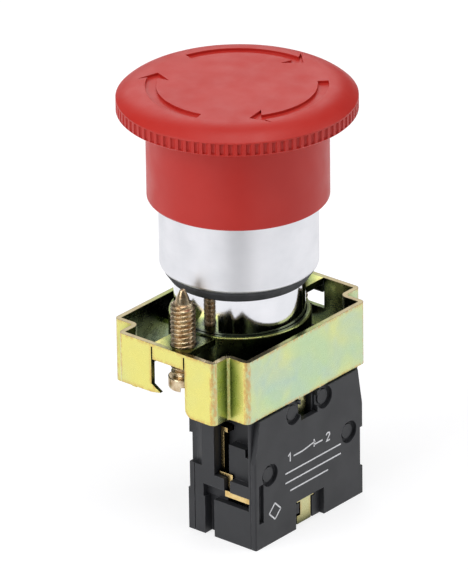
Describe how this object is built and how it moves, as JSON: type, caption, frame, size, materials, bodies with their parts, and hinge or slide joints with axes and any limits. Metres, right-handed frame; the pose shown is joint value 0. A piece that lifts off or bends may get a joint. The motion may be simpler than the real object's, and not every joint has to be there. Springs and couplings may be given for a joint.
{
  "type": "emergency stop pushbutton",
  "caption": "Panel-mount emergency stop button: red turn-to-release mushroom head, chromed barrel, zinc mounting collar with clamp screws and one normally closed contact block.",
  "frame": {"origin": "on the button's axis, at the underside of the gasket, which is the panel's front face", "axes": "+Z along the button's axis towards the operator; +X along the mounting collar's long side; +Y along its short side, away from the contact block"},
  "size_m": [0.04, 0.04, 0.0757],
  "materials": {
    "red_plastic": "satin moulded nylon",
    "satin_chrome": "satin chrome plate",
    "gasket_rubber": "matt black rubber",
    "yellow_zinc": "yellow passivated zinc, iridescent",
    "screw_zinc": "yellow zinc, worn threads",
    "black_plastic": "satin moulded polyamide",
    "inner_plastic": "moulded acetal",
    "plunger_red": "moulded acetal",
    "strap_zinc": "yellow passivated zinc",
    "brass": "stamped brass",
    "silver": "silver contact tips",
    "spring_steel": "drawn wire",
    "steel": "bright steel"
  },
  "bodies": {
    "root": {"head_housing": "satin_chrome", "panel_gasket": "gasket_rubber", "guide_bush": "inner_plastic", "latch_spring": "spring_steel", "shaft_seal": "gasket_rubber", "return_spring": "spring_steel", "mounting_collar": "yellow_zinc", "block_body": "black_plastic", "block_front_cover": "black_plastic", "block_rear_cover": "black_plastic", "cover_pins": "black_plastic", "fixing_strap": "strap_zinc", "strap_screw": "steel", "terminal_strip_left": "brass", "terminal_strip_right": "brass", "fixed_contacts": "silver", "contact_spring": "spring_steel"},
    "carriage": {"press_sleeve": "inner_plastic", "pusher_plate": "steel"},
    "head": {"mushroom_cap": "red_plastic", "release_spindle": "steel", "spindle_circlip": "spring_steel", "twist_spring": "spring_steel"},
    "contact_carriage": {"contact_plunger": "plunger_red", "contact_bridge": "brass", "moving_contacts": "silver"},
    "clamp_left": {"clamp_screw_left": "screw_zinc"},
    "clamp_right": {"clamp_screw_right": "screw_zinc"},
    "terminal_left": {"terminal_screw_left": "steel", "saddle_clamp_left": "steel"},
    "terminal_right": {"terminal_screw_right": "steel", "saddle_clamp_right": "steel"}
  },
  "joints": [
    {"name": "head_press", "type": "slide", "parent": "root", "child": "carriage", "axis": [0, 0, -1], "range_m": [0, 0.004], "stiffness_N_per_m": 3000, "springref_m": -0.002, "deforming": ["return_spring"]},
    {"name": "cap_twist", "type": "hinge", "parent": "carriage", "child": "head", "pos_m": [0, 0, 0], "axis": [0, 0, -1], "range_deg": [0, 45], "stiffness_Nm_per_rad": 0.02, "springref_deg": -17.19},
    {"name": "contact_slide", "type": "slide", "parent": "root", "child": "contact_carriage", "axis": [0, 0, -1], "range_m": [0, 0.004], "deforming": ["contact_spring"]},
    {"name": "clamp_turn_left", "type": "slide", "parent": "root", "child": "clamp_left", "axis": [0, 0, 1], "range_m": [-0.009, 0]},
    {"name": "clamp_turn_right", "type": "slide", "parent": "root", "child": "clamp_right", "axis": [0, 0, 1], "range_m": [-0.009, 0]},
    {"name": "terminal_tighten_left", "type": "slide", "parent": "root", "child": "terminal_left", "axis": [0, 0, 1], "range_m": [0, 0.0025]},
    {"name": "terminal_tighten_right", "type": "slide", "parent": "root", "child": "terminal_right", "axis": [0, 0, 1], "range_m": [0, 0.0025]}
  ],
  "couplings": [
    {"joint": "contact_slide", "follows": "head_press", "ratio": 1}
  ]
}
